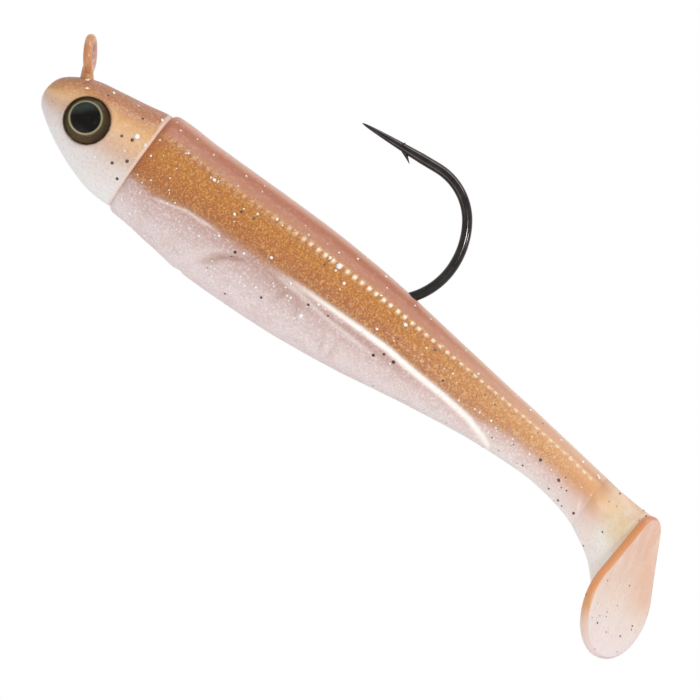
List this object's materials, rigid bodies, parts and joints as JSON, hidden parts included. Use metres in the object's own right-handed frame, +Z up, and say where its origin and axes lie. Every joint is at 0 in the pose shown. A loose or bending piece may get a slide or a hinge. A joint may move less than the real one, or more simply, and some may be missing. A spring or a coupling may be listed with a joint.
{
  "type": "paddle-tail swimbait",
  "caption": "Soft paddle-tail fishing lure shaped like a small fish, on a weighted jig head with a single upturned hook, glued eyes and a coated line tie.",
  "frame": {"origin": "middle of the line tie's hole, in the middle plane", "axes": "+X from nose to tail along the body, +Z up towards the hook's point, +Y towards the lure's right side"},
  "size_m": [0.1116, 0.0201, 0.0431],
  "materials": {
    "hook_wire": "black nickel, polished",
    "lead": "cast lead, dull",
    "head_skin": "glossy translucent soft plastic, orange above and pearl below",
    "eye_foil": "printed foil, dark pupil and olive ring",
    "eye_dome": "clear cast resin",
    "gold_back": "soft plastic with copper and gold flake",
    "pearl_belly": "translucent pearl soft plastic",
    "paddle_soft": "translucent soft plastic, orange rim"
  },
  "bodies": {
    "front": {"jig_hook": "hook_wire", "tie_coat": "head_skin", "head_skin": "head_skin", "head_weight": "lead", "eye_foil_left": "eye_foil", "eye_dome_left": "eye_dome", "eye_foil_right": "eye_foil", "eye_dome_right": "eye_dome", "body_back": "gold_back", "body_belly": "pearl_belly"},
    "tail": {"tail_back": "gold_back", "tail_belly": "pearl_belly"},
    "paddle": {"paddle": "paddle_soft"}
  },
  "joints": [
    {"name": "tail_bend", "type": "hinge", "parent": "front", "child": "tail", "pos_m": [0.0718, 0, -0.0086], "axis": [0, 0, 1], "range_deg": [-15, 25], "stiffness_Nm_per_rad": 0.0057},
    {"name": "paddle_kick", "type": "hinge", "parent": "tail", "child": "paddle", "pos_m": [0.0972, -0.00222, -0.0086], "axis": [0, 0, 1], "range_deg": [-17, 73], "stiffness_Nm_per_rad": 0.00086}
  ]
}
